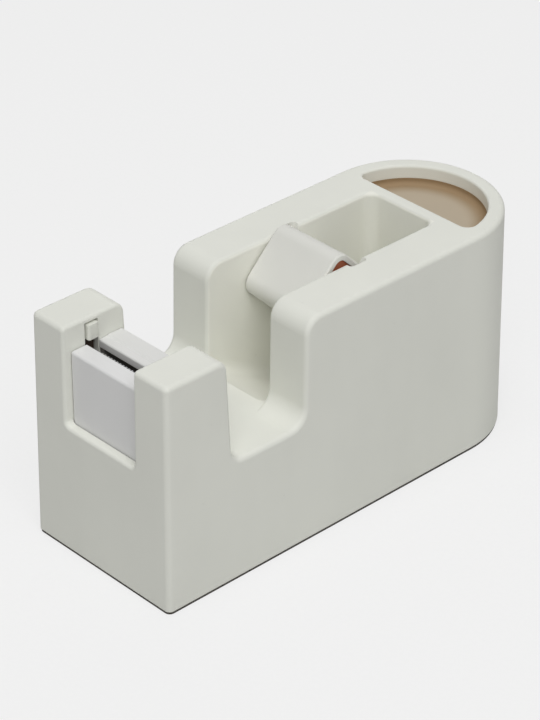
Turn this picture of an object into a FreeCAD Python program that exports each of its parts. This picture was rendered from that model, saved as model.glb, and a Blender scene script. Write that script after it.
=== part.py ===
import FreeCAD, Part
import math
import os
import Sketcher

# Desk tape dispenser: a hollow moulded body with a tape well, a pen tray and a guarded cutter.
# Millimetres, +Z up, the cutter faces -Y.  The origin is on the table under the middle of the body.

Vector = FreeCAD.Vector
Rotation = FreeCAD.Rotation
Placement = FreeCAD.Placement

SIZES = {
    # body
    "body_length": 133.2,
    "body_width": 50.6,
    "body_height": 65.1,
    "side_draft": 0.45,
    "end_draft": 0.95,
    "front_corner": 1.5,
    "rim_round": 1.3,
    "wall": 2.2,
    # cross trough between the two towers
    "trough_depth": 29.9,
    "trough_start": 19.6,
    "trough_length": 26.1,
    "front_tower_lean": 1.4,
    "rear_tower_lean": 0.5,
    "front_tower_round": 3.2,
    "rear_tower_round": 5.0,
    "trough_front_fillet": 4.0,
    "trough_rear_fillet": 5.0,
    # tape well
    "well_width": 22.6,
    "well_depth": 43.8,
    "well_lead": 1.1,
    "ramp_angle": 28.0,
    "well_fillet": 3.2,
    "well_edge_round": 1.1,
    "well_bottom_round": 8.0,
    # pen tray
    "tray_rim": 4.75,
    "tray_end_rim": 4.2,
    "tray_edge_shift": 0.5,
    "tray_corner": 2.5,
    "tray_collar": 3.7,
    "tray_depth": 5.5,
    "tray_round": 0.7,
    "tray_floor_fillet": 1.2,
    "tray_floor_thick": 1.6,
    "tray_flange": 1.3,
    "partition": 3.7,
    # base
    "pad_thick": 0.8,
    "pad_inset": 0.2,
    "plate_thick": 2.0,
    "plate_gap": 0.15,
    "boss_radius": 3.0,
    "boss_inset": 6.7,
    "front_boss_start": 9.0,
    "rear_boss_lead": 5.8,
    "screw_radius": 1.3,
    "screw_head_radius": 2.4,
    "screw_head_height": 1.5,
    "screw_reach": 9.0,
    "screw_fit": 0.06,
    "post_radius": 5.0,
    "post_shift": 9.0,
    # ballast
    "front_ballast_start": 4.0,
    "front_ballast_length": 34.0,
    "front_ballast_headroom": 3.0,
    "rear_ballast_lead": 3.4,
    "rear_ballast_overrun": 2.2,
    "rear_ballast_headroom": 1.8,
    "ballast_round": 1.5,
    "ballast_gap": 0.2,
    "ballast_rib": 1.2,
    "ballast_rib_height": 3.0,
    # hub
    "roll_space": 33.1,
    "hub_drop": 9.9,
    "hub_tip": 12.6,
    "hub_corner": 3.7,
    "hub_skin": 1.6,
    "hub_side_gap": 0.5,
    "core_recess": 0.4,
    "core_gap": 0.05,
    "axle_radius": 1.6,
    "axle_fit": 0.08,
    "slot_lean": 22.4,
    "slot_width": 5.4,
    "slot_depth": 2.3,
    "slot_round": 1.1,
    "block_gap": 0.12,
    "block_rise": 3.0,
    # cutter channel and pit
    "channel_width": 26.0,
    "channel_depth": 27.9,
    "channel_corner": 1.6,
    "channel_round": 0.9,
    "pit_depth": 44.1,
    "pit_front_gap": 0.25,
    # guard
    "guard_recess": 2.3,
    "guard_depth": 4.9,
    "guard_gap": 0.3,
    "guard_drop": 7.3,
    "guard_height": 24.3,
    "guard_skin": 1.6,
    "guard_round": 0.7,
    "lug_height": 2.0,
    "lug_reach": 2.4,
    "spring_radius": 1.35,
    "spring_wire": 0.45,
    "spring_spread": 8.0,
    "spring_length": 15.0,
    # tape rest and cradle
    "blade_slot": 4.1,
    "apron_inset": 0.7,
    "apron_thick": 1.5,
    "rest_step": 0.25,
    "rest_land": 2.4,
    "rest_thick": 2.4,
    "rest_round": 0.5,
    "rest_gap": 0.1,
    "cradle_floor": 2.0,
    "cradle_back": 3.4,
    "cradle_cheek": 1.5,
    "cradle_gap": 0.3,
    "cradle_screw_spread": 8.0,
    "hook_height": 2.5,
    # blade and its slider
    "blade_thick": 0.5,
    "blade_gap": 0.5,
    "blade_inset": 2.0,
    "blade_drop": 0.6,
    "blade_height": 13.7,
    "blade_travel": 3.0,
    "tooth_pitch": 1.1,
    "tooth_depth": 0.8,
    "carrier_drop": 1.5,
    "carrier_height": 11.0,
    "carrier_gap": 0.25,
    "clamp_thick": 0.8,
    "clamp_height": 5.0,
    "clamp_rise": 2.0,
    "clamp_inset": 1.0,
    "blade_screw_radius": 1.0,
    "blade_screw_spread": 7.5,
    "tab_drop": 1.9,
    "tab_height": 4.2,
    "tab_depth": 3.2,
    "tab_proud": 1.0,
    "tab_round": 0.6,
    "arm_rise": 3.0,
    "arm_thick": 1.6,
    "groove_depth": 3.4,
    "groove_gap": 0.5,
}


class Length:
    """A length that carries its value and the formula that gives it from the sheet."""

    def __init__(self, value, text):
        self.value = value
        self.text = text

    def join(self, other, sign, value):
        return Length(value, "(%s %s %s)" % (self.text, sign, text_of(other)))

    def __add__(self, other):
        return self.join(other, "+", self.value + value_of(other))

    def __radd__(self, other):
        return self + other

    def __sub__(self, other):
        return self.join(other, "-", self.value - value_of(other))

    def __rsub__(self, other):
        return -self + other

    def __mul__(self, other):
        return self.join(other, "*", self.value * value_of(other))

    def __rmul__(self, other):
        return self * other

    def __truediv__(self, other):
        return self.join(other, "/", self.value / value_of(other))

    def __neg__(self):
        return Length(-self.value, "(-1 * %s)" % self.text)


def value_of(length):
    return length.value if isinstance(length, Length) else float(length)


def text_of(length):
    return length.text if isinstance(length, Length) else repr(float(length))


def function_of(name, function, length):
    """A sheet function, such as tan in degrees, of a length."""
    return Length(function(math.radians(length.value)), "%s(%s * 1deg)" % (name, length.text))


class Sheet:
    """The sheet of driving sizes: sizes.wall is the Length of the cell named wall."""

    def __init__(self, doc):
        self.cells = doc.addObject("Spreadsheet::Sheet", "Sizes")
        for row, (name, number) in enumerate(SIZES.items(), start=1):
            self.cells.set("A%d" % row, name)
            self.cells.set("B%d" % row, str(number))
            self.cells.setAlias("B%d" % row, name)
        doc.recompute()

    def __getattr__(self, name):
        return Length(float(self.cells.get(name)), "Sizes." + name)


doc = FreeCAD.newDocument("tape_dispenser")
size = Sheet(doc)


# ---------------------------------------------------------------- modelling helpers

def bind(thing, path, length):
    """Set a property from a length: from the sheet when it has a formula."""
    thing.setExpression(path, text_of(length))


def place(thing, spot, rotation=Rotation()):
    """Put a shape at spot, a triple of lengths."""
    thing.Placement = Placement(Vector(*[value_of(part) for part in spot]), rotation)
    for axis, part in zip("xyz", spot):
        bind(thing, "Placement.Base." + axis, part)
    return thing


def new_body(name):
    body = doc.addObject("PartDesign::Body", name)
    body.Label = name
    return body


def new_sketch(body, name, role, offset=0.0):
    """An empty sketch on one of the body's own origin planes, moved along its normal by offset."""
    sketch = body.newObject("Sketcher::SketchObject", name)
    planes = [plane for plane in body.Origin.OriginFeatures if plane.Role == role]
    sketch.AttachmentSupport = [(planes[0], "")]
    sketch.MapMode = "FlatFace"
    sketch.AttachmentOffset = Placement(Vector(0, 0, value_of(offset)), Rotation())
    bind(sketch, "AttachmentOffset.Base.z", offset)
    return sketch


def constrain(sketch, kind, *terms, length=None):
    """Add a constraint, bound to its length when it has one."""
    values = [value_of(length)] if length is not None else []
    index = sketch.addConstraint(Sketcher.Constraint(kind, *terms, *values))
    if length is not None:
        bind(sketch, "Constraints[%d]" % index, length)
    return index


def pin_point(sketch, geometry, position, across, up):
    """Hold a point of the sketch at two lengths from the sketch's origin."""
    constrain(sketch, "DistanceX", -1, 1, geometry, position, length=across)
    constrain(sketch, "DistanceY", -1, 1, geometry, position, length=up)


def corner_points(corner, before, after):
    """Where an arc of the corner's radius touches the two lines that meet there."""
    at = Vector(value_of(corner[0]), value_of(corner[1]), 0)
    if len(corner) < 3:
        return at, at, None
    radius = value_of(corner[2])
    back = (before - at).normalize()
    ahead = (after - at).normalize()
    half = back.getAngle(ahead) / 2
    reach = radius / math.tan(half)
    middle = (back + ahead).normalize()
    centre = at + middle * (radius / math.sin(half))
    return at + back * reach, at + ahead * reach, centre


def outline(body, name, role, corners, offset=0.0):
    """A closed outline of straight lines; a corner (across, up, radius) is rounded."""
    sketch = new_sketch(body, name, role, offset)
    spots = [Vector(value_of(c[0]), value_of(c[1]), 0) for c in corners]
    count = len(corners)
    ends = [corner_points(corners[i], spots[i - 1], spots[(i + 1) % count]) for i in range(count)]
    lines = []
    for i in range(count):
        start = ends[i][1]
        stop = ends[(i + 1) % count][0]
        lines.append(sketch.addGeometry(Part.LineSegment(start, stop), False))
    for i, corner in enumerate(corners):
        before = lines[i - 1]
        after = lines[i]
        if ends[i][2] is None:
            constrain(sketch, "Coincident", before, 2, after, 1)
            pin_point(sketch, after, 1, corner[0], corner[1])
            continue
        mark = sketch.addGeometry(Part.Point(spots[i]), True)
        pin_point(sketch, mark, 1, corner[0], corner[1])
        constrain(sketch, "PointOnObject", mark, 1, before)
        constrain(sketch, "PointOnObject", mark, 1, after)
        arc = sketch.addGeometry(round_arc(ends[i]), False)
        first, last = arc_ends(sketch, arc, ends[i])
        constrain(sketch, "Tangent", before, 2, arc, first)
        constrain(sketch, "Tangent", after, 1, arc, last)
        constrain(sketch, "Radius", arc, length=corner[2])
    return sketch


def round_arc(ends):
    """The arc from one touching point to the other, the short way round."""
    start, stop, centre = ends
    radius = (start - centre).Length
    circle = Part.Circle(centre, Vector(0, 0, 1), radius)
    first = math.atan2(start.y - centre.y, start.x - centre.x)
    last = math.atan2(stop.y - centre.y, stop.x - centre.x)
    if (last - first) % (2 * math.pi) > math.pi:
        first, last = last, first
    return Part.ArcOfCircle(circle, first, last)


def arc_ends(sketch, arc, ends):
    """Which end of the arc is the first touching point, and which is the second."""
    start = sketch.getPoint(arc, 1)
    near = (start - ends[0]).Length < (start - ends[1]).Length
    return (1, 2) if near else (2, 1)


def box_corners(left, right, low, high, radius=None):
    corners = [(left, low), (right, low), (right, high), (left, high)]
    return [corner + (radius,) for corner in corners] if radius is not None else corners


def disc(body, name, role, across, up, radius, offset=0.0):
    """A sketch of one circle."""
    sketch = new_sketch(body, name, role, offset)
    centre = Vector(value_of(across), value_of(up), 0)
    ring = sketch.addGeometry(Part.Circle(centre, Vector(0, 0, 1), value_of(radius)), False)
    pin_point(sketch, ring, 3, across, up)
    constrain(sketch, "Radius", ring, length=radius)
    return sketch


def bullet(body, name, level, width, front, rear, corner):
    """The body's plan: a straight front with rounded corners and a half-round back."""
    sketch = new_sketch(body, name, "XY_Plane", level)
    half = value_of(width) / 2
    low = value_of(front)
    turn = value_of(corner)
    middle = value_of(rear) - half
    up = Vector(0, 0, 1)
    add = sketch.addGeometry
    base = add(Part.LineSegment(Vector(turn - half, low, 0), Vector(half - turn, low, 0)), False)
    ring = Part.Circle(Vector(half - turn, low + turn, 0), up, turn)
    right_turn = add(Part.ArcOfCircle(ring, -math.pi / 2, 0), False)
    right = add(Part.LineSegment(Vector(half, low + turn, 0), Vector(half, middle, 0)), False)
    end = add(Part.ArcOfCircle(Part.Circle(Vector(0, middle, 0), up, half), 0, math.pi), False)
    left = add(Part.LineSegment(Vector(-half, middle, 0), Vector(-half, low + turn, 0)), False)
    ring = Part.Circle(Vector(turn - half, low + turn, 0), up, turn)
    left_turn = add(Part.ArcOfCircle(ring, math.pi, 3 * math.pi / 2), False)
    constrain(sketch, "Tangent", base, 2, right_turn, 1)
    constrain(sketch, "Tangent", right_turn, 2, right, 1)
    constrain(sketch, "Tangent", right, 2, end, 1)
    constrain(sketch, "Tangent", end, 2, left, 1)
    constrain(sketch, "Tangent", left, 2, left_turn, 1)
    constrain(sketch, "Tangent", left_turn, 2, base, 1)
    constrain(sketch, "Vertical", right)
    constrain(sketch, "Vertical", left)
    constrain(sketch, "Horizontal", base)
    constrain(sketch, "Radius", right_turn, length=corner)
    constrain(sketch, "Radius", left_turn, length=corner)
    constrain(sketch, "Radius", end, length=width / 2)
    pin_point(sketch, end, 3, Length(0.0, "0"), rear - width / 2)
    constrain(sketch, "DistanceY", -1, 1, base, 1, length=front)
    return sketch


def pad(body, sketch, length, both=False, reverse=False, taper=None):
    feature = body.newObject("PartDesign::Pad", sketch.Name + "_pad")
    feature.Profile = sketch
    feature.Length = value_of(length)
    bind(feature, "Length", length)
    feature.Midplane = both
    feature.Reversed = reverse
    if taper is not None:
        feature.TaperAngle = value_of(taper)
        bind(feature, "TaperAngle", taper)
    doc.recompute()
    return feature


def pocket(body, sketch, length, both=False, reverse=False):
    """Cut the sketch out of the body; it must take material away."""
    before = body.Shape.Volume
    feature = body.newObject("PartDesign::Pocket", sketch.Name + "_pocket")
    feature.Profile = sketch
    feature.Length = value_of(length)
    bind(feature, "Length", length)
    feature.Midplane = both
    feature.Reversed = reverse
    doc.recompute()
    if not body.Shape.Volume < before - 1e-6:
        raise ValueError("%s cuts nothing" % feature.Name)
    return feature


def loft(body, low, high):
    feature = body.newObject("PartDesign::AdditiveLoft", low.Name + "_loft")
    feature.Profile = low
    feature.Sections = [high]
    feature.Ruled = True
    doc.recompute()
    return feature


def edges_where(shape, test):
    """Names of the edges that pass the test, which is given the edge and its faces."""
    faces = [shape.ancestorsOfType(edge, Part.Face) for edge in shape.Edges]
    return ["Edge%d" % (i + 1) for i, edge in enumerate(shape.Edges) if test(edge, faces[i])]


def fillet(body, name, radius, test):
    """Round the edges of the body's last feature that pass the test."""
    return dress(body, "PartDesign::Fillet", name, "Radius", radius, test)


def chamfer(body, name, width, test):
    """Break the edges of the body's last feature that pass the test."""
    return dress(body, "PartDesign::Chamfer", name, "Size", width, test)


def dress(body, kind, name, measure, length, test):
    base = body.Tip
    names = edges_where(base.Shape, test)
    if not names:
        raise ValueError("%s finds no edge" % name)
    feature = body.newObject(kind, name)
    feature.Base = (base, names)
    setattr(feature, measure, value_of(length))
    bind(feature, measure, length)
    doc.recompute()
    return feature


def block(name, low, high):
    """A Part::Box from its lowest to its highest corner."""
    box = doc.addObject("Part::Box", name)
    for side, start, stop in zip(("Length", "Width", "Height"), low, high):
        extent = Length(value_of(stop) - value_of(start), "(%s - %s)" % (text_of(stop), text_of(start)))
        setattr(box, side, extent.value)
        bind(box, side, extent)
    return place(box, low)


ALONG_X = Rotation(Vector(0, 1, 0), 90)
ALONG_Y = Rotation(Vector(1, 0, 0), -90)


def rod(name, start, radius, length, turn=Rotation()):
    """A Part::Cylinder from start, upright unless it is turned."""
    cylinder = doc.addObject("Part::Cylinder", name)
    cylinder.Radius = value_of(radius)
    bind(cylinder, "Radius", radius)
    cylinder.Height = value_of(length)
    bind(cylinder, "Height", length)
    return place(cylinder, start, turn)


def fuse(name, pieces):
    joined = doc.addObject("Part::MultiFuse", name)
    joined.Shapes = pieces
    joined.Refine = True
    doc.recompute()
    return joined


def cut(name, base, tool):
    """Take tool away from base."""
    result = doc.addObject("Part::Cut", name)
    result.Base = base
    result.Tool = tool
    result.Refine = True
    doc.recompute()
    if not result.Shape.Volume < base.Shape.Volume - 1e-6:
        raise ValueError("%s cuts nothing" % name)
    return result


def round_edges(name, base, radius, test):
    """A Part::Fillet on the edges of base that pass the test."""
    feature = doc.addObject("Part::Fillet", name)
    feature.Base = base
    value = value_of(radius)
    feature.Edges = [(int(edge[4:]), value, value) for edge in edges_where(base.Shape, test)]
    doc.recompute()
    return feature


def parts_of(name, sources):
    """Several loose solids of one kind in one sub-part."""
    group = doc.addObject("Part::Compound", name)
    group.Links = sources
    doc.recompute()
    return group


# ---------------------------------------------------------------- shared places

ZERO = Length(0.0, "0")
over = 6.0
front_base = -size.body_length / 2
front_face = front_base + size.end_draft
rear_base = size.body_length / 2
rear_face = rear_base - size.end_draft
shell_base = size.pad_thick
plate_top = shell_base + size.plate_thick
top = size.body_height
half_body = size.body_width / 2

trough_floor = top - size.trough_depth
trough_front = front_face + size.trough_start
trough_rear = trough_front + size.trough_length

tray_radius = half_body - size.side_draft - size.tray_rim
tray_middle = rear_face - size.tray_end_rim - tray_radius
tray_edge = tray_middle + size.tray_edge_shift
tray_floor = top - size.tray_depth

well_half = size.well_width / 2
well_edge = trough_rear - size.well_lead
well_rear = tray_edge - size.partition
well_floor = top - size.well_depth

hub_middle = well_rear - size.roll_space
hub_level = top - size.hub_drop
lean_sin = function_of("sin", math.sin, size.slot_lean)
lean_cos = function_of("cos", math.cos, size.slot_lean)

channel_half = size.channel_width / 2
channel_floor = top - size.channel_depth
guard_front = front_face + size.guard_recess
guard_back = guard_front + size.guard_depth
guard_top = top - size.guard_drop
guard_bottom = guard_top - size.guard_height
rest_front = guard_back + size.blade_slot
rest_rear = trough_front - size.apron_inset
rest_bottom = guard_top - size.rest_thick
pit_front = guard_front - size.pit_front_gap
pit_rear = rest_rear - size.apron_thick
pit_floor = top - size.pit_depth
cradle_top = pit_floor + size.cradle_floor
cradle_back_middle = pit_rear - size.cradle_gap - size.cradle_back / 2
cheek_front = rest_front + size.rest_gap
spring_seat = cradle_top + size.spring_length

blade_front = guard_back + size.blade_gap
blade_half = channel_half - size.blade_inset
blade_tip = guard_top - size.blade_drop
blade_bottom = blade_tip - size.blade_height
clamp_bottom = blade_bottom + size.clamp_rise
blade_screw_level = clamp_bottom + size.clamp_height / 2
carrier_bottom = blade_bottom - size.carrier_drop
carrier_top = carrier_bottom + size.carrier_height
arm_bottom = carrier_bottom + size.arm_rise
arm_rear = blade_front + size.tab_depth - size.carrier_gap
tab_top = top - size.tab_drop
tab_bottom = tab_top - size.tab_height

boss_x = half_body - size.boss_inset
ballast_half = boss_x - size.boss_radius - size.ballast_rib - size.ballast_gap * 2


def near(number, length, slack=1e-3):
    return abs(number - value_of(length)) < slack


# ---------------------------------------------------------------- body shell

def outer_form():
    """The drafted outside of the body with the trough and the channel cut through it."""
    body = new_body("outer_form")
    low = bullet(body, "outer_low", shell_base, size.body_width, front_base, rear_base,
                 size.front_corner)
    high = bullet(body, "outer_high", top, size.body_width - size.side_draft * 2, front_face,
                  rear_face, size.front_corner)
    loft(body, low, high)
    trough = outline(body, "trough", "YZ_Plane", trough_corners())
    pocket(body, trough, size.body_width + over, both=True)

    def on_rim(edge, faces):
        """Edges where the outside meets the tops, the trough walls and the trough floor."""
        walls = [face for face in faces if near(face.BoundBox.ZMin, shell_base)
                 and face.BoundBox.ZLength > 1]
        return len(walls) == 1 and edge.BoundBox.ZMin > value_of(shell_base) + 1

    fillet(body, "rim", size.rim_round, on_rim)
    notch = outline(body, "channel", "XZ_Plane", [
        (-channel_half, top + over),
        (-channel_half, channel_floor, size.channel_corner),
        (channel_half, channel_floor, size.channel_corner),
        (channel_half, top + over)], offset=over - front_face)
    pocket(body, notch, size.trough_start + size.front_tower_lean + over * 2)
    middle_of_trough = value_of(trough_front + size.trough_length / 2)

    def on_channel(edge, faces):
        """The mouth of the channel, on the front, the tops and the back of the front tower."""
        box = edge.BoundBox
        if box.YMin > middle_of_trough or box.ZMin < value_of(channel_floor) - 0.01:
            return False
        if max(abs(box.XMin), abs(box.XMax)) > value_of(channel_half) + 0.01:
            return False
        runs_along = box.YLength > value_of(size.trough_start) / 2
        return not (runs_along and box.ZMax < value_of(guard_top))

    fillet(body, "channel_mouth", size.channel_round, on_channel)
    return body


def trough_corners():
    """Side outline of the cross trough and of the rounded shoulders of both towers."""
    return [
        (trough_front - over, top + over),
        (trough_front - over, top),
        (trough_front, top, size.front_tower_round),
        (trough_front + size.front_tower_lean, trough_floor, size.trough_front_fillet),
        (trough_rear - size.rear_tower_lean, trough_floor, size.trough_rear_fillet),
        (trough_rear, top, size.rear_tower_round),
        (trough_rear + over * 1.5, top),
        (trough_rear + over * 1.5, top + over)]


def trough_skin_corners(skin):
    """Side outline of the trough grown by skin, with sharp corners."""
    return [
        (trough_front - skin, top + over),
        (trough_front + size.front_tower_lean - skin, trough_floor - skin),
        (trough_rear - size.rear_tower_lean + skin, trough_floor - skin),
        (trough_rear + skin, top + over)]


def well_corners(skin):
    """Side outline of the tape well: a mouth level with the trough, a ramp, a flat, a rear wall."""
    fall = trough_floor - well_floor
    foot = well_edge + fall / function_of("tan", math.tan, size.ramp_angle)
    mouth = well_edge - size.trough_rear_fillet - over / 2
    return [
        (mouth, top + over),
        (mouth, trough_floor - skin),
        (well_edge, trough_floor - skin),
        (foot, well_floor - skin, size.well_bottom_round * 2),
        (well_rear + skin, well_floor - skin, size.well_bottom_round),
        (well_rear + skin, top + over)]


def well_form():
    """The space of the tape well, with its bottom corners rounded."""
    body = new_body("well_form")
    pad(body, outline(body, "well_side", "YZ_Plane", well_corners(ZERO)), size.well_width, both=True)
    ramp_top = value_of(well_edge)
    rear = value_of(well_rear)

    def on_floor(edge, faces):
        """Edges between the side walls and the ramp, the floor and the rear wall."""
        box = edge.BoundBox
        crosses = box.XMin < 0 < box.XMax
        return not crosses and box.YMin > ramp_top - 0.01 and box.YMax < rear + 0.01

    fillet(body, "well_corners", size.well_fillet, on_floor)
    return body


def tray_form():
    """The D-shaped space of the pen tray, with a rounded floor edge."""
    body = new_body("tray_form")
    rise = size.tray_depth + over
    ring = disc(body, "tray_ring", "XY_Plane", ZERO, tray_middle, tray_radius, offset=tray_floor)
    pad(body, ring, rise)
    straight = outline(body, "tray_straight", "XY_Plane", behind_edge(tray_edge), offset=tray_floor)
    pocket(body, straight, rise, reverse=True)
    fillet(body, "tray_corners", size.tray_corner,
           lambda edge, faces: edge.BoundBox.ZLength > 2 and edge.BoundBox.YLength < 0.01
           and near(edge.BoundBox.YMin, tray_edge))
    fillet(body, "tray_floor_edge", size.tray_floor_fillet,
           lambda edge, faces: near(edge.BoundBox.ZMax, tray_floor))
    return body


def behind_edge(edge):
    """A rectangle over everything in front of the straight side of the tray."""
    reach = tray_radius + over
    return box_corners(-reach, reach, tray_middle - reach, edge)


def leaning(half, head):
    """Side view of a bar round below that leans back from the hub's axis as the slots do."""
    turn = half - size.slot_width / 20
    spots = []
    for across, along in box_corners(-half, half, -half, head):
        spots.append((hub_middle + across * lean_cos + along * lean_sin,
                      hub_level - across * lean_sin + along * lean_cos))
    return [spots[0] + (turn,), spots[1] + (turn,), spots[2], spots[3]]


def round_ends(body, name, ends):
    """Round the edges that lie in the end planes at these distances across."""
    fillet(body, name, size.slot_round, lambda edge, faces:
           edge.BoundBox.XLength < 0.01 and any(near(edge.BoundBox.XMax, end) for end in ends))


def slot_form():
    """Both open-topped slots for the axle blocks, in one bar across the body."""
    body = new_body("slot_form")
    half = well_half + size.slot_depth
    pad(body, outline(body, "slot_side", "YZ_Plane",
                      leaning(size.slot_width / 2, size.hub_drop * 1.6)), half * 2, both=True)
    round_ends(body, "slot_ends", [-half, half])
    return body


def inner_form():
    """The inside of the moulding before the skins of its pockets are left standing in it."""
    body = new_body("inner_form")
    low = bullet(body, "inner_low", shell_base, size.body_width - size.wall * 2,
                 front_base + size.wall, rear_base - size.wall, size.front_corner / 2)
    high = bullet(body, "inner_high", top - size.wall,
                  size.body_width - size.side_draft * 2 - size.wall * 2, front_face + size.wall,
                  rear_face - size.wall, size.front_corner / 2)
    loft(body, low, high)
    return body


def boss_spots():
    """The four screw bosses: X and Y of each."""
    return [(boss_x * side, along) for side in (-1, 1)
            for along in (front_face + size.front_boss_start, well_rear - size.rear_boss_lead)]


def pocket_skins():
    """The walls that the moulding keeps round each pocket, and its screw bosses."""
    skin = size.wall
    trough = new_body("trough_skin")
    pad(trough, outline(trough, "trough_outer", "YZ_Plane", trough_skin_corners(skin)),
        size.body_width + over, both=True)
    well = new_body("well_skin")
    pad(well, outline(well, "well_outer", "YZ_Plane", well_corners(skin)),
        size.well_width + skin * 2, both=True)
    channel = block("channel_skin", (-channel_half - skin, front_base - over, pit_floor - skin),
                    (channel_half + skin, pit_rear + skin, top + over))
    groove = block("groove_skin", *groove_box(skin / 2))
    reach = well_half + size.slot_depth + skin
    rise = size.slot_width / 2 + skin
    back = hub_middle + size.hub_drop * lean_sin / lean_cos + rise
    slots = block("slot_skin", (-reach, hub_middle - rise, hub_level - rise),
                  (reach, back, top + over))
    collar = rod("tray_skin", (ZERO, tray_middle, top - size.tray_collar), half_body,
                 size.tray_collar + over)
    bosses = [rod("boss", (across, along, plate_top), size.boss_radius, top)
              for across, along in boss_spots()]
    return fuse("pocket_skins", [trough, well, channel, groove, slots, collar] + bosses)


def groove_box(skin):
    """Corners of the groove that the slider's arm runs in, grown by skin; open to the channel."""
    gap = size.groove_gap + skin
    low = arm_bottom - size.blade_travel - gap
    return ((-channel_half - size.groove_depth - skin, blade_front - size.carrier_gap - gap, low),
            (-channel_half + size.rest_gap, arm_rear + gap, tab_top + gap))


def body_shell():
    """The body: one hollow moulding, open underneath."""
    hollow = cut("well_cut", outer_form(), well_form())
    rear_limit = value_of(well_rear) + 0.1
    side_limit = value_of(well_half) + 0.1
    front_limit = value_of(trough_rear) - 3

    def on_lip(edge, faces):
        """The mouth of the well, on the tops; tangent edges down the tower front follow."""
        box = edge.BoundBox
        inside = max(abs(box.XMin), abs(box.XMax)) < side_limit and box.YMax < rear_limit
        return inside and box.YMin > front_limit and near(box.ZMin, top)

    lipped = round_edges("well_lip", hollow, size.well_edge_round, on_lip)
    pit = block("pit", (-channel_half, pit_front, pit_floor),
                (channel_half, pit_rear, channel_floor + size.channel_corner))
    groove = block("groove", *groove_box(ZERO))
    opened = cut("pockets_cut", lipped, fuse("pockets", [pit, groove, slot_form(), tray]))
    tray_rear = value_of(tray_middle + tray_radius) + 0.1

    def on_tray(edge, faces):
        """The mouth of the pen tray."""
        box = edge.BoundBox
        inside = max(abs(box.XMin), abs(box.XMax)) < value_of(tray_radius) + 0.1
        along = box.YMin > value_of(tray_edge) - 0.01 and box.YMax < tray_rear
        return inside and along and near(box.ZMin, top)

    lined = round_edges("tray_lip", opened, size.tray_round, on_tray)
    cavity = cut("cavity", inner_form(), pocket_skins())
    fit = size.screw_radius + size.screw_fit
    holes = [rod("pilot", (across, along, shell_base), fit, size.screw_reach + size.plate_thick * 2)
             for across, along in boss_spots()]
    holes += [rod("pit_hole", (across, cradle_back_middle, pit_floor - size.wall - 1), fit,
                  size.wall + 2) for across in cradle_screw_spots()]
    return cut("body_shell", lined, fuse("hollows", [cavity] + holes))


# ---------------------------------------------------------------- base

def base_plate():
    """The closing plate, with ribs round the ballast and a post that holds the tray insert up."""
    body = new_body("plate")
    inset = size.wall + size.plate_gap
    plan = bullet(body, "plate_plan", shell_base, size.body_width - inset * 2, front_base + inset,
                  rear_base - inset, size.front_corner / 2)
    pad(body, plan, size.plate_thick)
    rib_base = shell_base + size.plate_thick / 2
    rib_top = plate_top + size.ballast_rib_height
    ribs = []
    for name, start, stop in ballast_runs():
        gap = size.ballast_gap
        rib = gap + size.ballast_rib
        outer = block(name + "_rib", (-ballast_half - rib, start - rib, rib_base),
                      (ballast_half + rib, stop + rib, rib_top))
        inner = block(name + "_bay", (-ballast_half - gap, start - gap, shell_base),
                      (ballast_half + gap, stop + gap, rib_top + 1))
        ribs.append(cut(name + "_frame", outer, inner))
    post_middle = tray_middle + size.post_shift
    post = rod("post", (ZERO, post_middle, rib_base), size.post_radius,
               tray_floor - size.tray_floor_thick - rib_base)
    bore = rod("post_bore", (ZERO, post_middle, shell_base), size.post_radius - size.wall, top)
    sunk = []
    for across, along in boss_spots():
        sunk.append(rod("hole", (across, along, shell_base - 1), size.screw_radius + size.screw_fit,
                        size.plate_thick + 2))
        sunk.append(head_cone("sink", across, along, size.screw_fit))
    joined = fuse("plate_ribs", [body, post] + ribs)
    return cut("base_plate", joined, fuse("plate_holes", sunk + [bore]))


def ballast_runs():
    """Name, front and rear of each ballast block."""
    front = front_face + size.front_ballast_start
    rear = well_edge + size.rear_ballast_lead
    return [("ballast_front", front, front + size.front_ballast_length),
            ("ballast_rear", rear, well_rear + size.rear_ballast_overrun)]


def head_cone(name, across, along, gap):
    """A countersunk head, widest at the underside of the plate."""
    cone = doc.addObject("Part::Cone", name)
    bind(cone, "Radius1", size.screw_head_radius + gap)
    bind(cone, "Radius2", size.screw_radius + gap)
    bind(cone, "Height", size.screw_head_height)
    return place(cone, (across, along, shell_base))


def base_screws():
    """Four countersunk screws that hold the base plate to the bosses."""
    screws = []
    for across, along in boss_spots():
        shaft = rod("shaft", (across, along, shell_base), size.screw_radius,
                    size.screw_reach + size.plate_thick)
        screws.append(fuse("base_screw", [shaft, head_cone("head", across, along, ZERO)]))
    return parts_of("base_screws", screws)


def antislip_pad():
    """The thin rubber sheet under the whole base."""
    body = new_body("antislip_pad")
    inset = size.pad_inset
    plan = bullet(body, "pad_plan", ZERO, size.body_width - inset * 2, front_base + inset,
                  rear_base - inset, size.front_corner)
    pad(body, plan, size.pad_thick)
    return body


def ballast(index, ceiling):
    """A steel block that keeps the dispenser from sliding; its top edges are broken."""
    name, start, stop = ballast_runs()[index]
    body = new_body(name)
    plan = outline(body, name + "_plan", "XY_Plane", box_corners(
        -ballast_half, ballast_half, start, stop, size.ballast_round), offset=plate_top)
    pad(body, plan, ceiling - plate_top)
    chamfer(body, name + "_edges", size.ballast_round / 2,
            lambda edge, faces: near(edge.BoundBox.ZMin, ceiling))
    return body


def ballast_front():
    """The block under the cutter pit, below the heads of the cradle's screws."""
    heads = pit_floor - size.wall - size.screw_head_height
    return ballast(0, heads - size.front_ballast_headroom)


def ballast_rear():
    """The block under the floor of the tape well."""
    return ballast(1, well_floor - size.wall - size.rear_ballast_headroom)


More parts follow.
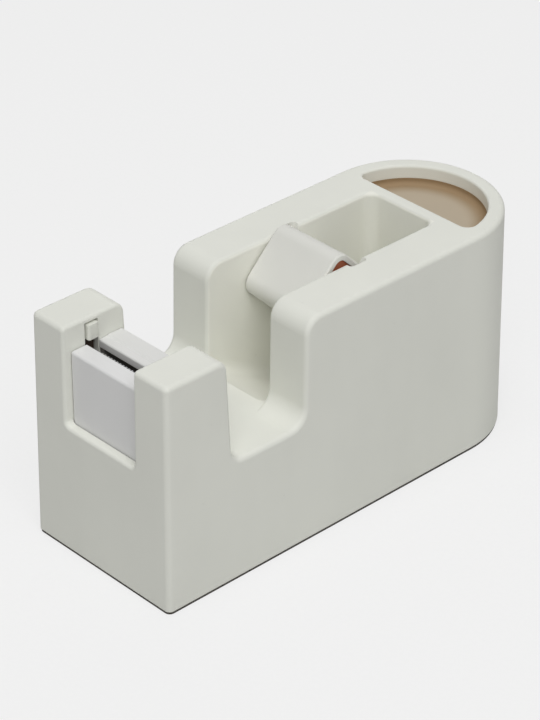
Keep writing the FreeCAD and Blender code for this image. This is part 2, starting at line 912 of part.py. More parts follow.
def tray_insert():
    """The coloured cup under the tray opening, flanged against the collar."""
    body = new_body("insert_blank")
    under = tray_floor - size.tray_floor_thick
    rise = top - size.tray_collar - under
    ring = disc(body, "insert_ring", "XY_Plane", ZERO, tray_middle, tray_radius + size.tray_flange,
                offset=under)
    pad(body, ring, rise)
    straight = outline(body, "insert_straight", "XY_Plane",
                       behind_edge(tray_edge - size.tray_flange), offset=under)
    pocket(body, straight, rise + over, reverse=True)
    return cut("tray_insert", body, tray)


# ---------------------------------------------------------------- hub

def diamond(half, radius):
    """A square standing on a corner, round the hub's axis."""
    return [(hub_middle - half, hub_level, radius), (hub_middle, hub_level - half, radius),
            (hub_middle + half, hub_level, radius), (hub_middle, hub_level + half, radius)]


hub_length = size.well_width - size.hub_side_gap * 2
hub_reach = size.hub_tip + size.hub_corner * (math.sqrt(2) - 1)


def hub_shell():
    """The tape hub: a rounded square tube."""
    body = new_body("hub_shell")
    pad(body, outline(body, "hub_outer", "YZ_Plane", diamond(hub_reach, size.hub_corner)),
        hub_length, both=True)
    chamfer(body, "hub_rims", size.hub_skin / 4,
            lambda edge, faces: near(edge.BoundBox.XMax - edge.BoundBox.XMin, ZERO))
    inner = outline(body, "hub_inner", "YZ_Plane", diamond(
        hub_reach - size.hub_skin * math.sqrt(2), size.hub_corner - size.hub_skin))
    pocket(body, inner, hub_length + over, both=True)
    return body


def hub_core():
    """The plug inside the tube, set back at both ends, with the axle bore."""
    body = new_body("hub_core")
    inset = size.hub_skin + size.core_gap
    pad(body, outline(body, "core_outer", "YZ_Plane", diamond(
        hub_reach - inset * math.sqrt(2), size.hub_corner - inset)),
        hub_length - size.core_recess * 2, both=True)
    bore = disc(body, "core_bore", "YZ_Plane", hub_middle, hub_level,
                size.axle_radius + size.axle_fit)
    pocket(body, bore, hub_length, both=True)
    return body


def axle():
    """The steel axle that carries the hub between the two blocks."""
    half = well_half + size.slot_depth - size.block_gap * 2
    pin = rod("axle_pin", (-half, hub_middle, hub_level), size.axle_radius, half * 2, ALONG_X)
    broken = doc.addObject("Part::Chamfer", "axle")
    broken.Base = pin
    doc.recompute()
    leg = value_of(size.axle_radius) / 8
    broken.Edges = [(int(edge[4:]), leg, leg) for edge in
                    edges_where(pin.Shape, lambda edge, faces: edge.BoundBox.XLength < 0.01)]
    doc.recompute()
    return broken


def axle_block(name, side):
    """The shoe that holds one end of the axle in its slot: round below, flat on top."""
    body = new_body(name)
    inner = well_half - size.block_gap * 2
    thick = size.slot_depth + size.block_gap
    start = inner if side > 0 else -inner - thick
    pad(body, outline(body, name + "_side", "YZ_Plane",
                      leaning(size.slot_width / 2 - size.block_gap, size.block_rise), start), thick)
    round_ends(body, name + "_end", [(inner + thick) * side])
    bore = disc(body, name + "_bore", "YZ_Plane", hub_middle, hub_level,
                size.axle_radius + size.axle_fit / 4, start)
    pocket(body, bore, thick, reverse=True)
    return body


# ---------------------------------------------------------------- cutter

def cradle_screw_spots():
    return [-size.cradle_screw_spread, size.cradle_screw_spread]


def cutter_cradle():
    """The frame in the pit: a floor under the springs, a back, cheeks and two stop hooks."""
    body = new_body("cradle_blank")
    half = channel_half - size.cradle_gap
    front = pit_front + size.cradle_gap
    back = pit_rear - size.cradle_gap
    inside = back - size.cradle_back
    pad(body, outline(body, "cradle_side", "YZ_Plane", [
        (front, pit_floor), (back, pit_floor), (back, rest_bottom), (inside, rest_bottom),
        (inside, cradle_top, size.cradle_back / 2), (front, cradle_top)]), half * 2, both=True)
    hook = guard_bottom + size.lug_height + size.cradle_gap
    for side in (-1, 1):
        start = half - size.cradle_cheek if side > 0 else -half
        pad(body, outline(body, "cheek", "YZ_Plane", [
            (cheek_front, cradle_top - 1), (cheek_front, hook), (blade_front, hook),
            (blade_front, hook + size.hook_height), (cheek_front, hook + size.hook_height),
            (cheek_front, rest_bottom), (cradle_back_middle, rest_bottom),
            (cradle_back_middle, cradle_top - 1)], start), size.cradle_cheek)
    holes = [rod("cradle_hole", (across, cradle_back_middle, pit_floor - 1),
                 size.screw_radius + size.screw_fit, size.screw_reach + 1)
             for across in cradle_screw_spots()]
    return cut("cutter_cradle", body, fuse("cradle_holes", holes))


def cradle_screws():
    """Two screws up through the pit floor into the cradle's back."""
    under = pit_floor - size.wall
    screws = []
    for across in cradle_screw_spots():
        shaft = rod("cradle_shaft", (across, cradle_back_middle, under), size.screw_radius,
                    size.screw_reach + size.wall - 1)
        head = rod("cradle_head", (across, cradle_back_middle, under - size.screw_head_height),
                   size.screw_head_radius, size.screw_head_height)
        screws.append(fuse("cradle_screw", [shaft, head]))
    return parts_of("cradle_screws", screws)


def tape_rest():
    """The bar that the tape's free end lies on, with an apron that closes the channel's back."""
    body = new_body("tape_rest")
    land = guard_top - size.rest_step
    foot = channel_floor + size.rest_gap
    pad(body, outline(body, "rest_side", "YZ_Plane", [
        (rest_front, rest_bottom), (pit_rear, rest_bottom), (pit_rear, foot), (rest_rear, foot),
        (rest_rear, guard_top, size.rest_round),
        (rest_front + size.rest_land + size.rest_step * 2, guard_top),
        (rest_front + size.rest_land, land),
        (rest_front, land, size.rest_round)]), size.channel_width - size.rest_gap * 2, both=True)
    fillet(body, "apron_corners", size.channel_corner + size.rest_gap,
           lambda edge, faces: near(edge.BoundBox.ZMax, foot) and edge.BoundBox.XLength < 0.01)
    return body


def blade_guard():
    """The sprung cover in front of the blade: a front panel, a top, ends, a spring shelf, lugs."""
    body = new_body("blade_guard")
    half = channel_half - size.guard_gap
    skin = size.guard_skin
    inner = guard_front + skin
    lug = guard_back + size.lug_reach
    pad(body, outline(body, "guard_side", "YZ_Plane", [
        (guard_front, guard_bottom), (inner, guard_bottom), (inner, spring_seat),
        (guard_back, spring_seat), (guard_back, spring_seat + skin), (inner, spring_seat + skin),
        (inner, guard_top - skin), (guard_back, guard_top - skin), (guard_back, guard_top),
        (guard_front, guard_top)]), half * 2, both=True)
    for side in (-1, 1):
        start = half - skin if side > 0 else -half
        pad(body, outline(body, "guard_end", "YZ_Plane", [
            (guard_front, guard_bottom), (lug, guard_bottom),
            (lug, guard_bottom + size.lug_height), (guard_back, guard_bottom + size.lug_height),
            (guard_back, guard_top), (guard_front, guard_top)], start), skin)

    def on_face(edge, faces):
        """The top edge of the front panel."""
        box = edge.BoundBox
        return near(box.YMax, guard_front) and box.ZMin > value_of(guard_top) - 0.01

    fillet(body, "guard_edges", size.guard_round, on_face)
    return body


SPRING_TURNS = 6
SIDES_PER_TURN = 10
WIRE_SIDES = 6


def guard_spring(name, across):
    """A compression spring between the cradle floor and the guard's shelf, of faceted wire."""
    wire = value_of(size.spring_wire) / 2
    radius = value_of(size.spring_radius)
    rise = value_of(size.spring_length) - wire * 2
    steps = SPRING_TURNS * SIDES_PER_TURN
    turn = 2 * math.pi / SIDES_PER_TURN
    path = [Vector(radius * math.cos(turn * i), radius * math.sin(turn * i), rise * i / steps)
            for i in range(steps + 1)]
    ahead = (path[1] - path[0]).normalize()
    up = ahead.cross(Vector(1, 0, 0)).normalize()
    out = up.cross(ahead).normalize()
    around = [2 * math.pi * (i + 0.5) / WIRE_SIDES for i in range(WIRE_SIDES)]
    ring = [path[0] + out * (wire * math.cos(a)) + up * (wire * math.sin(a)) for a in around]
    section = Part.makePolygon(ring + ring[:1])
    spring = doc.addObject("Part::Feature", name)
    spring.Shape = Part.makePolygon(path).makePipeShell([section], True, False, 1)
    middle = guard_front + size.guard_skin + size.spring_radius + size.spring_wire
    return place(spring, (across, middle, cradle_top + size.spring_wire / 2))


def blade():
    """The serrated steel blade: a plate with a row of V notches in its top edge."""
    body = new_body("blade")
    plate = outline(body, "blade_plate", "XZ_Plane", box_corners(
        -blade_half, blade_half, blade_bottom, blade_tip), offset=-blade_front)
    pad(body, plate, size.blade_thick, reverse=True)
    pitch = size.tooth_pitch
    notch = outline(body, "tooth_notch", "XZ_Plane", [
        (-blade_half, blade_tip + size.tooth_depth),
        (-blade_half + pitch / 2, blade_tip - size.tooth_depth),
        (-blade_half + pitch, blade_tip + size.tooth_depth)], offset=1 - blade_front)
    gap = pocket(body, notch, size.blade_thick + 2)
    row = body.newObject("PartDesign::LinearPattern", "teeth")
    row.Originals = [gap]
    row.Direction = (notch, ["H_Axis"])
    count = int(2 * blade_half.value / pitch.value + 1e-6)
    row.Length = pitch.value * (count - 1)
    bind(row, "Length", pitch * (count - 1))
    row.Occurrences = count
    body.Tip = row
    doc.recompute()
    drill(body, "blade_hole", blade_front, size.blade_thick)
    return body


def drill(body, name, front, thick):
    """The two screw holes through a plate of the blade's stack."""
    for across in blade_screw_spots():
        hole = disc(body, name, "XZ_Plane", across, blade_screw_level,
                    size.blade_screw_radius + size.screw_fit, offset=1 - front)
        pocket(body, hole, thick + 2)


def blade_screw_spots():
    return [-size.blade_screw_spread, size.blade_screw_spread]


def blade_clamp():
    """The strip that clamps the blade to its carrier."""
    body = new_body("blade_clamp")
    half = blade_half - size.clamp_inset
    front = blade_front - size.clamp_thick
    strip = outline(body, "clamp_strip", "XZ_Plane", box_corners(
        -half, half, clamp_bottom, clamp_bottom + size.clamp_height, size.clamp_thick),
        offset=-front)
    pad(body, strip, size.clamp_thick, reverse=True)
    drill(body, "clamp_hole", front, size.clamp_thick)
    return body


def blade_screws():
    """Two cheese-head screws through the clamp and the blade into the carrier."""
    front = blade_front - size.clamp_thick
    stack = size.clamp_thick + size.blade_thick + size.carrier_height / 4
    screws = []
    for across in blade_screw_spots():
        shaft = rod("blade_shaft", (across, front, blade_screw_level), size.blade_screw_radius,
                    stack, ALONG_Y)
        head = rod("blade_head", (across, front - size.clamp_thick, blade_screw_level),
                   size.blade_screw_radius * 1.8, size.clamp_thick, ALONG_Y)
        screws.append(fuse("blade_screw", [shaft, head]))
    return parts_of("blade_screws", screws)


def blade_carrier():
    """The slider behind the blade, with an arm in the side groove that ends in the thumb tab."""
    front = blade_front + size.blade_thick
    rear = cheek_front - size.cradle_gap
    end = -channel_half - size.groove_depth + size.groove_gap
    plate = block("carrier_plate", (-channel_half + size.carrier_gap, front, carrier_bottom),
                  (channel_half - size.carrier_gap, rear, carrier_top))
    bridge = block("carrier_bridge", (end, front, arm_bottom),
                   (-channel_half + size.carrier_gap + 1, arm_rear, carrier_top))
    arm = block("carrier_arm", (end, front, arm_bottom),
                (end + size.arm_thick, arm_rear, tab_top - size.tab_round))
    tab = new_body("thumb_tab")
    pad(tab, outline(tab, "tab_plan", "XY_Plane", box_corners(
        end, -channel_half + size.tab_proud, blade_front - size.carrier_gap, arm_rear,
        size.tab_round), offset=tab_bottom), size.tab_height)
    joined = fuse("carrier_blank", [plate, bridge, arm, tab])
    holes = [rod("carrier_hole", (across, front - 1, blade_screw_level),
                 size.blade_screw_radius + size.screw_fit, rear - front + 2, ALONG_Y)
             for across in blade_screw_spots()]
    return cut("blade_carrier", joined, fuse("carrier_holes", holes))


# ---------------------------------------------------------------- the assembly

tray = tray_form()
PIECES = {
    "body_shell": body_shell,
    "base_plate": base_plate,
    "base_screws": base_screws,
    "antislip_pad": antislip_pad,
    "ballast_front": ballast_front,
    "ballast_rear": ballast_rear,
    "tray_insert": tray_insert,
    "hub_shell": hub_shell,
    "hub_core": hub_core,
    "axle": axle,
    "axle_block_left": lambda: axle_block("axle_block_left", -1),
    "axle_block_right": lambda: axle_block("axle_block_right", 1),
    "cutter_cradle": cutter_cradle,
    "cradle_screws": cradle_screws,
    "tape_rest": tape_rest,
    "blade_guard": blade_guard,
    "guard_spring_left": lambda: guard_spring("guard_spring_left", -size.spring_spread),
    "guard_spring_right": lambda: guard_spring("guard_spring_right", size.spring_spread),
    "blade": blade,
    "blade_clamp": blade_clamp,
    "blade_screws": blade_screws,
    "blade_carrier": blade_carrier,
}


def write_parts():
    """Build every piece, check the whole document, then write one STEP file for each piece."""
    built = {}
    for name, make in PIECES.items():
        built[name] = make()
        built[name].Label = name
    doc.recompute()
    for thing in doc.Objects:
        if "Invalid" in thing.State or "Error" in thing.State:
            raise ValueError("%s is %s" % (thing.Name, thing.State))
    for name, piece in built.items():
        if piece.Shape.isNull() or not piece.Shape.isValid():
            raise ValueError("%s has no valid shape" % name)
    os.makedirs("parts", exist_ok=True)
    for name, piece in built.items():
        piece.Shape.exportStep("parts/%s.step" % name)
        box = piece.Shape.BoundBox
        print("%-20s %2d solids %9.1f mm3  %6.1f %6.1f %6.1f .. %6.1f %6.1f %6.1f" % (
            name, len(piece.Shape.Solids), piece.Shape.Volume,
            box.XMin, box.YMin, box.ZMin, box.XMax, box.YMax, box.ZMax))


write_parts()
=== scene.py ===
import math

import bpy
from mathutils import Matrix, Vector


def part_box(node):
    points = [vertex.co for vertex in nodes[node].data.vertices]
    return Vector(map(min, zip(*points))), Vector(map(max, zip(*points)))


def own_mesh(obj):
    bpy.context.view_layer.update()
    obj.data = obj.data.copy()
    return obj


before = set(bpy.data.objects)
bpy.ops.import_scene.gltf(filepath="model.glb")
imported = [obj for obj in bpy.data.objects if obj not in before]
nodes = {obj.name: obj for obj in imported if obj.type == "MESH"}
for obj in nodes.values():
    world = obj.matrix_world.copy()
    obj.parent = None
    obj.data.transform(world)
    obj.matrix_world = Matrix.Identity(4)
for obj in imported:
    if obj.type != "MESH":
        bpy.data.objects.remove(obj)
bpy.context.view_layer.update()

MM = 0.001

# The camera, as worked out from the box's own edges.
AIM = Vector((0.0, -8.99 * MM, 38.05 * MM))
AZIMUTH = math.radians(46.803)
ELEVATION = math.radians(31.931)
DISTANCE = 723.4 * MM
LENS = 141.68
SENSOR = 36
CLIP_NEAR = 0.05
CLIP_FAR = 20

# Background and floor, as seen by the camera.
PAPER = (0.863, 0.863, 0.863, 1.0)
FLOOR_GLOW = 1.063
FLOOR_BOUNCE = (0.62, 0.62, 0.615, 1.0)
FLOOR_SIDE = 6.0
SHADOW_SHARE = 0.22
FLOOR_GRAIN = 1.2 * MM
FLOOR_ROUGHNESS = 0.9
FLOOR_SPECULAR = 0.1

# The room and its lamps: name, place, side of the square in metres, and power in watts.
ROOM_COLOUR = (1.0, 1.0, 0.985, 1.0)
ROOM_STRENGTH = 0.3
BACKDROP_STRENGTH = 1.0
LAMPS = (
    ("overhead", (0.03, -0.12, 1.5), 0.45, 3.6),
    ("key", (0.72, -0.50, 1.18), 0.9, 8.8),
    ("fill", (-1.1, 1.0, 0.9), 1.2, 2.6),
)

# Rounding that the finish adds to sharp edges.
EDGE_ROUND = 0.25 * MM

# Painted shade: the tray's floor darkens towards its round wall, over this depth less its plain end
# at the wall.
TRAY_BAND = 7.0 * MM
TRAY_BAND_END = TRAY_BAND / 5
TRAY_PAINTED_SHADE = (161, 136, 104)

# The blade's slider is painted dark below its ivory thumb tab, which is this high: painted shade
# for the shadow in its groove.
TAB_HEIGHT = 4.2 * MM
TAB_FADE = 0.2 * MM
SLIDER_PAINTED_SHADE = (70, 56, 48)

# The tape well, whose walls and floor are painted warmer and paler than the outside: painted bounce
# light from inside the well.
WELL_HALF = 11.3 * MM
WELL_FRONT = -20.0 * MM
WELL_REAR = 38.15 * MM
WELL_PAINTED_BOUNCE_LIGHT = (248, 248, 239)
WELL_FADE_START = 6.0 * MM
WELL_FADE_END = 4.0 * MM

# A zone's colour changes over a thin strip between these two distances past its side.
ZONE_OUTER = 0.3 * MM
ZONE_INNER = 0.1 * MM


def linear(red, green, blue):
    """A colour given in 0 to 255 display steps, as the linear colour that a shader takes."""
    def channel(step):
        share = step / 255
        return share / 12.92 if share <= 0.04045 else ((share + 0.055) / 1.055) ** 2.4

    return (channel(red), channel(green), channel(blue), 1.0)


# ---------------------------------------------------------------- materials

class Nodes:
    """A material's node tree, with short ways to add and join its nodes."""

    def __init__(self, name):
        self.material = bpy.data.materials.new(name)
        self.material.use_nodes = True
        self.tree = self.material.node_tree
        self.shader = self.tree.nodes["Principled BSDF"]
        self.place = self.add("ShaderNodeTexCoord").outputs["Object"]

    def add(self, kind, **settings):
        node = self.tree.nodes.new(kind)
        for name, value in settings.items():
            setattr(node, name, value)
        return node

    def join(self, source, target):
        self.tree.links.new(source, target)

    def noise(self, size, detail=2.0, rough=0.5, stretch=(1, 1, 1), shift=(0, 0, 0)):
        """Noise with features about size metres wide."""
        mapping = self.add("ShaderNodeMapping")
        mapping.inputs["Location"].default_value = shift
        mapping.inputs["Scale"].default_value = stretch
        self.join(self.place, mapping.inputs["Vector"])
        noise = self.add("ShaderNodeTexNoise")
        noise.inputs["Scale"].default_value = 1 / size
        noise.inputs["Detail"].default_value = detail
        noise.inputs["Roughness"].default_value = rough
        self.join(mapping.outputs["Vector"], noise.inputs["Vector"])
        return noise.outputs["Fac"]

    def pits(self, size):
        """Distance to the nearest of many scattered points, size metres apart."""
        cells = self.add("ShaderNodeTexVoronoi", feature="F1")
        cells.inputs["Scale"].default_value = 1 / size
        self.join(self.place, cells.inputs["Vector"])
        return cells.outputs["Distance"]

    def ramp(self, source, *stops):
        """A colour ramp through (place, colour) stops; a colour may be one number."""
        ramp = self.add("ShaderNodeValToRGB")
        points = ramp.color_ramp.elements
        while len(points) < len(stops):
            points.new(0.5)
        for point, (where, colour) in zip(points, stops):
            point.position = where
            point.color = colour if isinstance(colour, tuple) else (colour, colour, colour, 1)
        self.join(source, ramp.inputs["Fac"])
        return ramp.outputs["Color"]

    def spread(self, source, low, high):
        """The source, which lies about 0.5, spread over the span from low to high."""
        span = self.add("ShaderNodeMapRange")
        span.inputs["From Min"].default_value = 0.3
        span.inputs["From Max"].default_value = 0.7
        span.inputs["To Min"].default_value = low
        span.inputs["To Max"].default_value = high
        self.join(source, span.inputs["Value"])
        return span.outputs["Result"]

    def step(self, source, start, stop):
        """A smooth step from 0 at start to 1 at stop."""
        span = self.add("ShaderNodeMapRange", interpolation_type="SMOOTHSTEP")
        span.inputs["From Min"].default_value = start
        span.inputs["From Max"].default_value = stop
        self.join(source, span.inputs["Value"])
        return span.outputs["Result"]

    def product(self, first, second):
        times = self.add("ShaderNodeMath", operation="MULTIPLY")
        self.join(first, times.inputs[0])
        self.join(second, times.inputs[1])
        return times.outputs["Value"]

    def mix(self, share, first, second, way="MIX"):
        """Two colours mixed; share is a number or an output."""
        mix = self.add("ShaderNodeMix", data_type="RGBA", blend_type=way)
        for value, socket in ((share, mix.inputs["Factor"]), (first, mix.inputs["A"]),
                              (second, mix.inputs["B"])):
            if isinstance(value, (tuple, float)):
                socket.default_value = value
            else:
                self.join(value, socket)
        return mix.outputs["Result"]

    def relief(self, source, depth, strength=1.0, under=None):
        """Bump of the given depth in metres, on top of any relief under it."""
        bump = self.add("ShaderNodeBump")
        bump.inputs["Distance"].default_value = depth
        bump.inputs["Strength"].default_value = strength
        self.join(source, bump.inputs["Height"])
        if under is not None:
            self.join(under, bump.inputs["Normal"])
        return bump.outputs["Normal"]

    def rounded(self, radius):
        """Normals that run round each sharp edge over radius metres."""
        bevel = self.add("ShaderNodeBevel", samples=6)
        bevel.inputs["Radius"].default_value = radius
        return bevel.outputs["Normal"]

    def finish(self, colour, roughness, normal, metallic=0.0, ior=1.5, specular=0.5):
        shader = self.shader.inputs
        for value, name in ((colour, "Base Color"), (roughness, "Roughness"), (normal, "Normal")):
            self.join(value, shader[name])
        shader["Metallic"].default_value = metallic
        shader["IOR"].default_value = ior
        shader["Specular IOR Level"].default_value = specular
        return self.material


def moulded(name, colour, gloss=(0.56, 0.7), grain=0.00035, tint=0.03, zone=None):
    """Satin moulded plastic: faint clouding, a spark-eroded grain and dust specks.

    zone is a second colour, here always painted light or painted shade, and the function that gives
    its share at each point of the piece.
    """
    n = Nodes(name)
    base = linear(*colour)
    dark = tuple(value * (1 - tint) for value in base[:3]) + (1.0,)
    light = tuple(min(1.0, value * (1 + tint / 2)) for value in base[:3]) + (1.0,)
    clouds = n.ramp(n.noise(0.035, detail=3), (0.35, dark), (0.62, light))
    flow = n.ramp(n.noise(0.012, stretch=(1, 1, 0.25), shift=(0.3, 0, 0)), (0.4, dark), (0.6, base))
    specks = n.ramp(n.noise(0.0022, detail=1), (0.15, 0.95), (0.2, 1.0))
    body = n.mix(0.35, clouds, flow)
    if zone is not None:
        body = n.mix(zone[1](n), body, linear(*zone[0]))
    colour_out = n.mix(1.0, body, specks, "MULTIPLY")
    handled = n.noise(0.02, detail=4, rough=0.6, shift=(0, 0.7, 0))
    grains = n.noise(grain, detail=2)
    normal = n.relief(grains, 0.00003, 0.22, n.rounded(EDGE_ROUND))
    normal = n.relief(n.noise(0.018, shift=(0.1, 0.2, 0)), 0.0002, 0.12, normal)
    return n.finish(colour_out, n.spread(handled, *gloss), normal, ior=1.48, specular=0.36)


def round_the_tray(n):
    """How near a point of the tray's floor lies to its round wall, which sets its painted shade: 0
    inside, 1 at the wall.
    """
    low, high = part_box("tray_insert")
    radius = (high[0] - low[0]) / 2
    centre = (0.0, high[1] - radius, 0.0)
    offset = n.add("ShaderNodeVectorMath", operation="SUBTRACT")
    n.join(n.place, offset.inputs[0])
    offset.inputs[1].default_value = centre
    flat = n.add("ShaderNodeVectorMath", operation="MULTIPLY")
    n.join(offset.outputs["Vector"], flat.inputs[0])
    flat.inputs[1].default_value = (1.0, 1.0, 0.0)
    reach = n.add("ShaderNodeVectorMath", operation="LENGTH")
    n.join(flat.outputs["Vector"], reach.inputs[0])
    return n.step(reach.outputs["Value"], radius - TRAY_BAND, radius - TRAY_BAND_END)


def below_the_tab(n):
    """1 on the slider below its thumb tab, where the painted shade goes, 0 on the tab."""
    tab_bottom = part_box("blade_carrier")[1][2] - TAB_HEIGHT
    split = n.add("ShaderNodeSeparateXYZ")
    n.join(n.place, split.inputs["Vector"])
    return n.step(split.outputs["Z"], tab_bottom, tab_bottom - TAB_FADE)


def inside_the_well(n):
    """1 at the walls and the floor of the tape well, where the painted bounce light goes, 0
    elsewhere on the body.
    """
    split = n.add("ShaderNodeSeparateXYZ")
    n.join(n.place, split.inputs["Vector"])
    side = n.add("ShaderNodeMath", operation="ABSOLUTE")
    n.join(split.outputs["X"], side.inputs[0])
    along = split.outputs["Y"]
    between_walls = n.step(side.outputs["Value"], WELL_HALF + ZONE_OUTER, WELL_HALF + ZONE_INNER)
    past_front = n.step(along, WELL_FRONT - WELL_FADE_START, WELL_FRONT + WELL_FADE_END)
    before_rear = n.step(along, WELL_REAR + ZONE_OUTER, WELL_REAR + ZONE_INNER)
    return n.product(n.product(between_walls, past_front), before_rear)


def rubber(name, colour):
    """Foamed rubber sheet: fine pores, a dull skin and a few pressed marks."""
    n = Nodes(name)
    base = linear(*colour)
    pale = tuple(value * 1.5 for value in base[:3]) + (1.0,)
    pores = n.ramp(n.pits(0.0009), (0.1, 0.55), (0.35, 1.0))
    colour_out = n.mix(1.0, n.ramp(n.noise(0.02, detail=4), (0.35, base), (0.7, pale)), pores,
                       "MULTIPLY")
    normal = n.relief(pores, 0.00015, 0.5, n.rounded(0.0003))
    normal = n.relief(n.noise(0.004, detail=3), 0.0002, 0.3, normal)
    return n.finish(colour_out, n.spread(n.noise(0.006), 0.75, 0.92), normal, specular=0.3)


def steel(name, colour, along, gloss=(0.2, 0.34), line=0.0002):
    """Ground steel with fine lines along one axis."""
    n = Nodes(name)
    base = linear(*colour)
    dark = tuple(value * 0.82 for value in base[:3]) + (1.0,)
    stretch = tuple(0.03 if axis == along else 1.0 for axis in "xyz")
    lines = n.noise(line, detail=3, stretch=stretch)
    colour_out = n.mix(0.4, n.ramp(lines, (0.35, dark), (0.65, base)),
                       n.ramp(n.noise(0.004, detail=3), (0.35, dark), (0.65, base)))
    normal = n.relief(lines, 0.00002, 0.5, n.rounded(0.0001))
    return n.finish(colour_out, n.spread(lines, *gloss), normal, metallic=1.0)


def cast(name, colour):
    """Sawn and zinc-dipped steel block: scale, saw marks and a dull bloom."""
    n = Nodes(name)
    base = linear(*colour)
    bloom = tuple(min(1.0, value * 1.35) for value in base[:3]) + (1.0,)
    scale = n.noise(0.006, detail=6, rough=0.65)
    saw = n.noise(0.0012, detail=1, stretch=(0.05, 1, 1))
    colour_out = n.mix(0.3, n.ramp(scale, (0.38, base), (0.62, bloom)),
                       n.ramp(saw, (0.4, base), (0.6, bloom)))
    normal = n.relief(saw, 0.0001, 0.4, n.rounded(0.0004))
    normal = n.relief(scale, 0.0003, 0.3, normal)
    return n.finish(colour_out, n.spread(scale, 0.42, 0.68), normal, metallic=0.8)


# The body's ivory, painted paler and warmer inside the tape well as painted bounce light.
IVORY = moulded("ivory_abs", (240, 241, 233), zone=(WELL_PAINTED_BOUNCE_LIGHT, inside_the_well))
LOOKS = {
    "body_shell": IVORY,
    "base_plate": moulded("base_ivory", (228, 227, 221), gloss=(0.55, 0.7)),
    # The slider's ivory, with painted shade below its thumb tab.
    "blade_carrier": moulded("tab_ivory", (235, 236, 227), grain=0.00025,
                             zone=(SLIDER_PAINTED_SHADE, below_the_tab)),
    "axle_block_left": moulded("block_ivory", (226, 225, 217), grain=0.0003),
    "blade_guard": moulded("guard_cool_white", (236, 236, 236), gloss=(0.48, 0.6)),
    "tape_rest": moulded("rest_cool_white", (233, 233, 231), gloss=(0.48, 0.6)),
    # The cutter cradle is painted mid-dark grey in place of cool white: painted shade for the deep
    # pit it sits in.
    "cutter_cradle": moulded("cradle_grey_painted_shade", (118, 114, 110)),
    "hub_shell": moulded("hub_white", (234, 234, 228), gloss=(0.48, 0.6), grain=0.0003),
    "hub_core": moulded("hub_core_brown", (178, 104, 72), gloss=(0.5, 0.62), tint=0.12),
    # The tray's beige, with painted shade darkening its floor towards the round wall.
    "tray_insert": moulded("tray_beige", (193, 179, 158), gloss=(0.6, 0.72), tint=0.05,
                           zone=(TRAY_PAINTED_SHADE, round_the_tray)),
    "antislip_pad": rubber("pad_rubber", (74, 70, 65)),
    "ballast_front": cast("ballast_steel", (132, 133, 136)),
    "axle": steel("axle_steel", (202, 203, 205), "x"),
    "blade": steel("blade_steel", (206, 207, 209), "z", gloss=(0.16, 0.28)),
    "blade_clamp": steel("clamp_steel", (190, 191, 193), "x"),
    "blade_screws": steel("screw_zinc", (196, 198, 200), "y", line=0.0004),
    "guard_spring_left": steel("spring_steel", (180, 181, 184), "z"),
}
SAME = {
    "axle_block_right": "axle_block_left",
    "ballast_rear": "ballast_front",
    "base_screws": "blade_screws",
    "cradle_screws": "blade_screws",
    "guard_spring_right": "guard_spring_left",
}


def dress():
    """Give each CAD node its material."""
    for name, node in nodes.items():
        look = LOOKS[SAME.get(name, name)]
        node.data.materials.clear()
        node.data.materials.append(look)


def squash_springs():
    """Give each of the guard's springs a mesh of its own."""
    for name in ("guard_spring_left", "guard_spring_right"):
        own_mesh(nodes[name])


# ---------------------------------------------------------------- stage, light and camera

def paper_material():
    """White paper: plain to the camera, with the object's own shadow left on it."""
    n = Nodes("paper")
    tree = n.tree
    grain = n.ramp(n.noise(FLOOR_GRAIN, detail=3), (0.3, 0.88), (0.7, 0.92))
    n.shader.inputs["Roughness"].default_value = FLOOR_ROUGHNESS
    n.shader.inputs["Specular IOR Level"].default_value = FLOOR_SPECULAR
    glow = n.add("ShaderNodeEmission")
    glow.inputs["Color"].default_value = PAPER
    glow.inputs["Strength"].default_value = FLOOR_GLOW
    rays = n.add("ShaderNodeLightPath")
    seen = n.add("ShaderNodeMath", operation="MAXIMUM")
    n.join(rays.outputs["Is Camera Ray"], seen.inputs[0])
    n.join(rays.outputs["Is Glossy Ray"], seen.inputs[1])
    n.join(n.mix(seen.outputs["Value"], FLOOR_BOUNCE, grain), n.shader.inputs["Base Color"])
    share = n.add("ShaderNodeMath", operation="MULTIPLY")
    share.inputs[1].default_value = 1 - SHADOW_SHARE
    n.join(seen.outputs["Value"], share.inputs[0])
    mix = n.add("ShaderNodeMixShader")
    n.join(share.outputs["Value"], mix.inputs["Fac"])
    n.join(n.shader.outputs["BSDF"], mix.inputs[1])
    n.join(glow.outputs["Emission"], mix.inputs[2])
    n.join(mix.outputs["Shader"], tree.nodes["Material Output"].inputs["Surface"])
    return n.material


def make_floor():
    half = FLOOR_SIDE / 2
    mesh = bpy.data.meshes.new("floor")
    corners = [(-half, -half, 0), (half, -half, 0), (half, half, 0), (-half, half, 0)]
    mesh.from_pydata(corners, [], [(0, 1, 2, 3)])
    floor = bpy.data.objects.new("floor", mesh)
    bpy.context.scene.collection.objects.link(floor)
    floor.data.materials.append(paper_material())


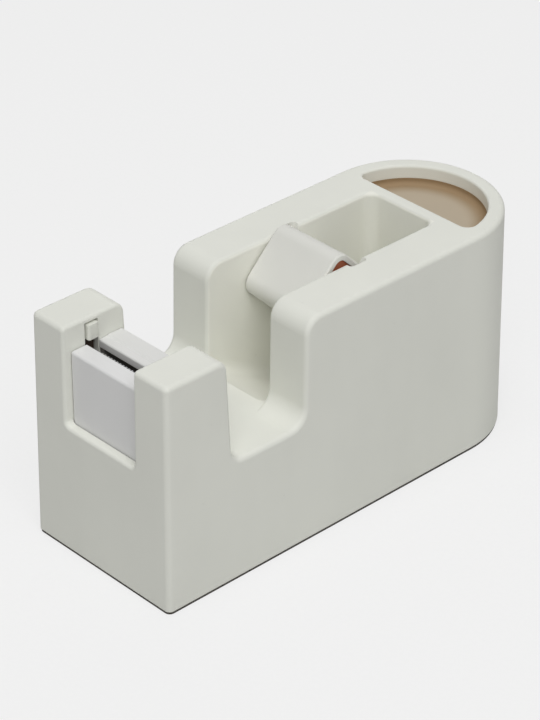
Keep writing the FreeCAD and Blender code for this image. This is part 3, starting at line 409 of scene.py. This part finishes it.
def soft_box(name, spot, aim, side, power):
    """A square lamp at spot that points at aim."""
    lamp = bpy.data.lights.new(name, "AREA")
    lamp.shape = "SQUARE"
    lamp.size = side
    lamp.energy = power
    holder = bpy.data.objects.new(name, lamp)
    holder.location = spot
    holder.rotation_mode = "QUATERNION"
    holder.rotation_quaternion = (Vector(aim) - Vector(spot)).to_track_quat("-Z", "Y")
    bpy.context.scene.collection.objects.link(holder)


def make_light():
    """A pale room, a lamp overhead, a broad key at the front right and a weak fill behind."""
    for name, spot, side, power in LAMPS:
        soft_box(name, spot, AIM, side, power)
    world = bpy.data.worlds.new("room")
    world.use_nodes = True
    bpy.context.scene.world = world
    tree = world.node_tree
    room = tree.nodes["Background"]
    room.inputs["Color"].default_value = ROOM_COLOUR
    room.inputs["Strength"].default_value = ROOM_STRENGTH
    seen = tree.nodes.new("ShaderNodeBackground")
    seen.inputs["Color"].default_value = PAPER
    seen.inputs["Strength"].default_value = BACKDROP_STRENGTH
    rays = tree.nodes.new("ShaderNodeLightPath")
    mix = tree.nodes.new("ShaderNodeMixShader")
    tree.links.new(rays.outputs["Is Camera Ray"], mix.inputs["Fac"])
    tree.links.new(room.outputs["Background"], mix.inputs[1])
    tree.links.new(seen.outputs["Background"], mix.inputs[2])
    tree.links.new(mix.outputs["Shader"], tree.nodes["World Output"].inputs["Surface"])


def make_camera():
    """The photograph's view of the object."""
    across = math.cos(ELEVATION)
    back = Vector((math.sin(AZIMUTH) * across, -math.cos(AZIMUTH) * across, math.sin(ELEVATION)))
    data = bpy.data.cameras.new("camera")
    data.lens = LENS
    data.sensor_width = SENSOR
    data.clip_start = CLIP_NEAR
    data.clip_end = CLIP_FAR
    camera = bpy.data.objects.new("camera", data)
    camera.location = AIM + back * DISTANCE
    camera.rotation_mode = "QUATERNION"
    camera.rotation_quaternion = (-back).to_track_quat("-Z", "Y")
    bpy.context.scene.collection.objects.link(camera)
    bpy.context.scene.camera = camera


dress()
squash_springs()
make_floor()
make_light()
make_camera()
bpy.context.scene.view_settings.view_transform = "Standard"
